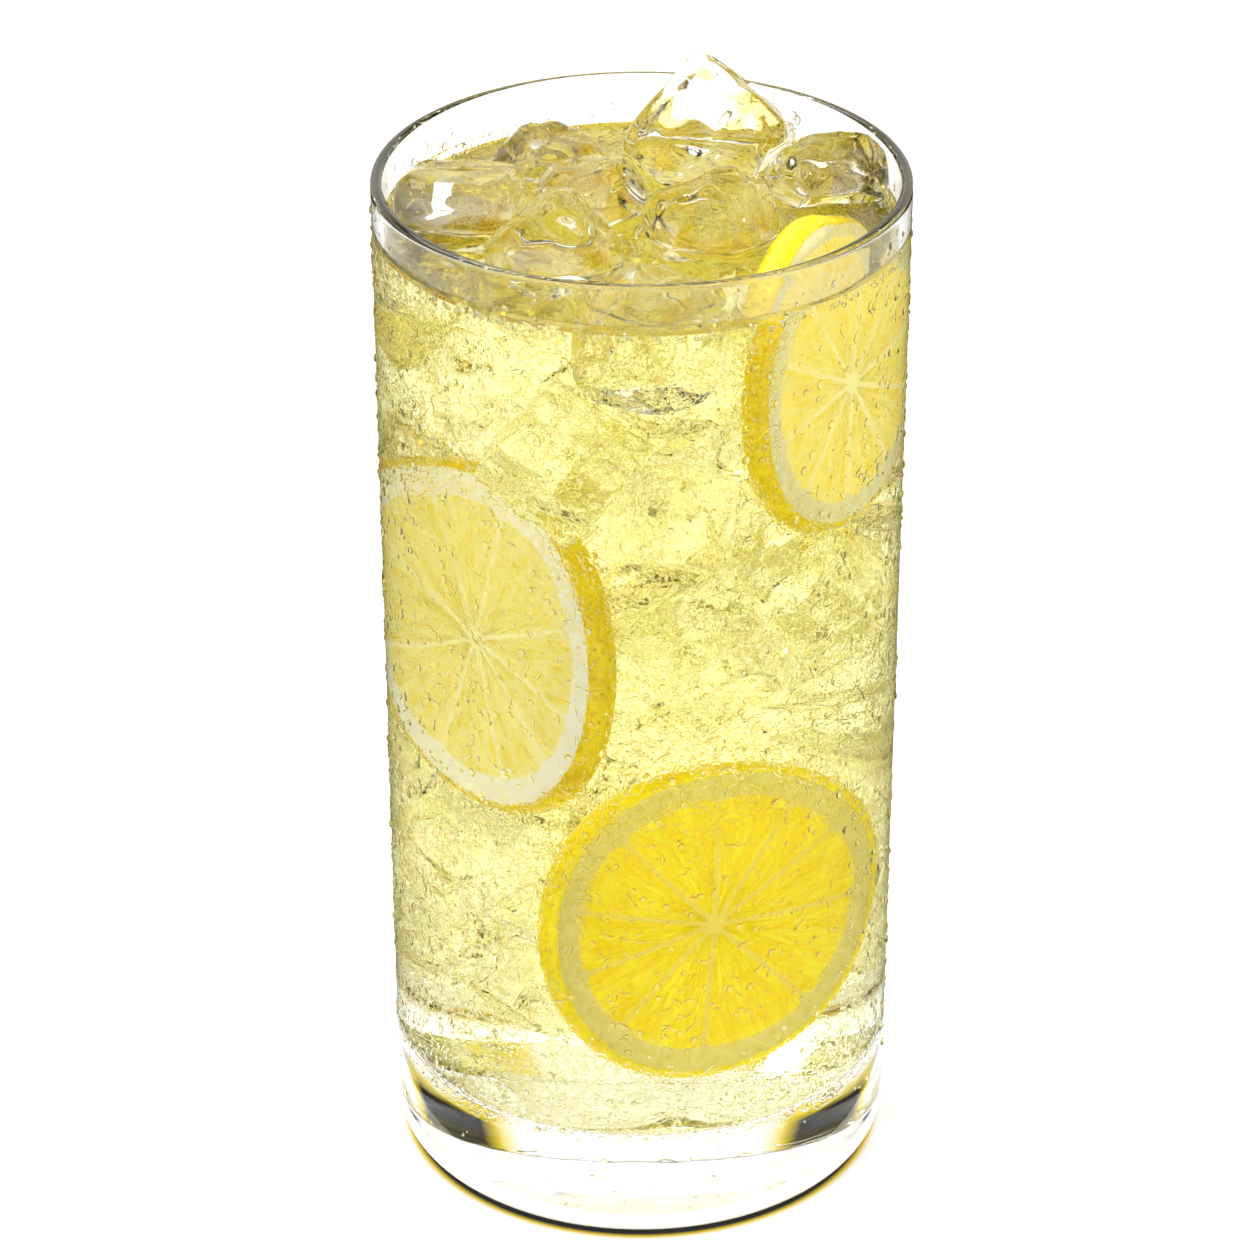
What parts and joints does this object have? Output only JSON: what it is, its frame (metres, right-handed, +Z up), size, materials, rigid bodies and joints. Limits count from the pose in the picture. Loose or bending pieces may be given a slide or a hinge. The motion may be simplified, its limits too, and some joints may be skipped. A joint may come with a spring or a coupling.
{
  "type": "glass of lemonade",
  "caption": "Tall straight glass with a thick base, filled with pale yellow lemonade, round lemon slices and melting ice cubes that rise above the drink.",
  "frame": {"origin": "centre of the glass's foot, on the surface it stands on", "axes": "+Z up along the glass's axis, -Y towards the side that shows the low lemon slice, +X to the right seen from there"},
  "size_m": [0.074, 0.074, 0.1603],
  "materials": {
    "glass": "clear and glossy",
    "lemonade": "clear pale yellow liquid",
    "lemon": "moist cut fruit: pebbled yellow rind, pale pith, translucent pulp",
    "ice": "clear wet ice",
    "water": "clear droplets of condensation"
  },
  "bodies": {
    "root": {"glass": "glass", "lemonade": "lemonade", "lemon_slice_low": "lemon", "lemon_slice_left": "lemon", "lemon_slice_right": "lemon", "ice_1": "ice", "ice_2": "ice", "ice_3": "ice", "ice_4": "ice", "ice_5": "ice", "ice_6": "ice", "ice_7": "ice", "ice_8": "ice"}
  },
  "joints": []
}
